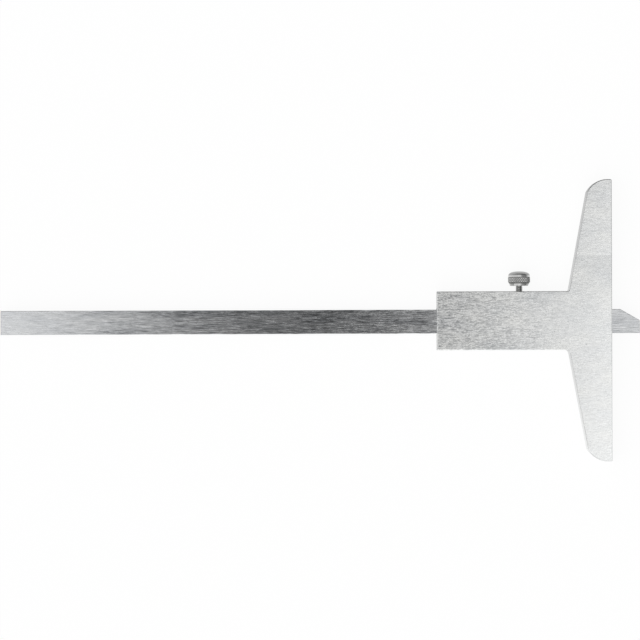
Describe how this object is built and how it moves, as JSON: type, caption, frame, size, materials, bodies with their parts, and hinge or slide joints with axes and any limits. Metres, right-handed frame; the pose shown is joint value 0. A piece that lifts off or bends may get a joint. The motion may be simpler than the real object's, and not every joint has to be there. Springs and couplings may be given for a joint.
{
  "type": "vernier depth gauge",
  "caption": "T-shaped steel depth gauge: a bridge lies on a face while its graduated beam slides down to measure depth and is locked by a knurled screw.",
  "frame": {"origin": "centre of the bridge's flat measuring face, on the slider's middle plane", "axes": "+X out of the measuring face, along the beam towards its measuring tip; +Y along the bridge towards the locking screw's side; +Z out of the plain back, so the scale side faces -Z"},
  "size_m": [0.2269, 0.1, 0.008],
  "materials": {
    "body_steel": "fine ground, satin",
    "beam_steel": "brushed along its length",
    "plate_steel": "satin",
    "screw_steel": "turned, oiled",
    "knob_steel": "turned and knurled",
    "gib_bronze": "plain"
  },
  "bodies": {
    "slider": {"slider_body": "body_steel", "vernier_plate": "plate_steel", "vernier_screw_front": "screw_steel", "vernier_screw_rear": "screw_steel", "gib_strip": "gib_bronze", "gib_screw_front": "screw_steel", "gib_screw_rear": "screw_steel"},
    "beam": {"beam": "beam_steel"},
    "lock_pad": {"lock_pad": "gib_bronze"},
    "lock_screw": {"lock_screw": "knob_steel"}
  },
  "joints": [
    {"name": "beam_slide", "type": "slide", "parent": "slider", "child": "beam", "axis": [1, 0, 0], "range_m": [-0.01005, 0.13995]},
    {"name": "lock_pad_travel", "type": "slide", "parent": "slider", "child": "lock_pad", "axis": [0, 1, 0], "range_m": [0, 0.0009]},
    {"name": "lock_screw_turn", "type": "hinge", "parent": "lock_pad", "child": "lock_screw", "pos_m": [-0.0327, 0.0149, 0], "axis": [0, 1, 0], "range_deg": [0, 720]}
  ],
  "couplings": [
    {"joint": "lock_screw_turn", "follows": "lock_pad_travel", "rad_per_m": 13963}
  ]
}
